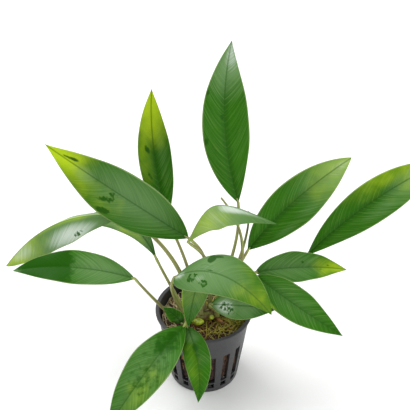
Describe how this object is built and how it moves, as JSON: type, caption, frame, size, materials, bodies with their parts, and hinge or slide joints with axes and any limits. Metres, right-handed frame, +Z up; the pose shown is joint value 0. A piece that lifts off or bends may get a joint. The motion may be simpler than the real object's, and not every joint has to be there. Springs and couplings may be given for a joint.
{
  "type": "potted aquarium plant",
  "caption": "Anubias barteri congensis: broad pointed leaves on arching stalks from a creeping rhizome, on a moss and root plug in a small black slotted net pot.",
  "frame": {"origin": "the centre of the pot's foot, on the surface that it stands on", "axes": "+Z up; -Y towards the viewer of the front, where the low leaves hang over the rim; +X to the viewer's right"},
  "size_m": [0.231, 0.1091, 0.189],
  "materials": {
    "net_pot": "satin",
    "root_plug": "matte",
    "rhizome": "satin",
    "moss": "matte",
    "blade": "satin",
    "stalk": "satin"
  },
  "bodies": {
    "root": {"net_pot": "net_pot", "root_plug": "root_plug", "rhizome": "rhizome", "moss_tuft": "moss", "blade_tall": "blade", "blade_back_left": "blade", "blade_left": "blade", "blade_folded": "blade", "blade_right": "blade", "blade_far_right": "blade", "blade_right_level": "blade", "blade_left_pale": "blade", "blade_left_behind": "blade", "blade_left_low": "blade", "blade_front": "blade", "blade_drooping": "blade", "blade_low_left": "blade", "blade_low_front": "blade", "blade_small": "blade", "blade_low_right": "blade", "blade_under": "blade", "stalk_tall": "stalk", "stalk_back_left": "stalk", "stalk_left": "stalk", "stalk_folded": "stalk", "stalk_right": "stalk", "stalk_far_right": "stalk", "stalk_right_level": "stalk", "stalk_left_pale": "stalk", "stalk_left_behind": "stalk", "stalk_left_low": "stalk", "stalk_front": "stalk", "stalk_drooping": "stalk", "stalk_low_left": "stalk", "stalk_low_front": "stalk", "stalk_small": "stalk", "stalk_low_right": "stalk", "stalk_under": "stalk", "stalk_stub": "stalk", "rolled_leaf": "stalk"}
  },
  "joints": []
}
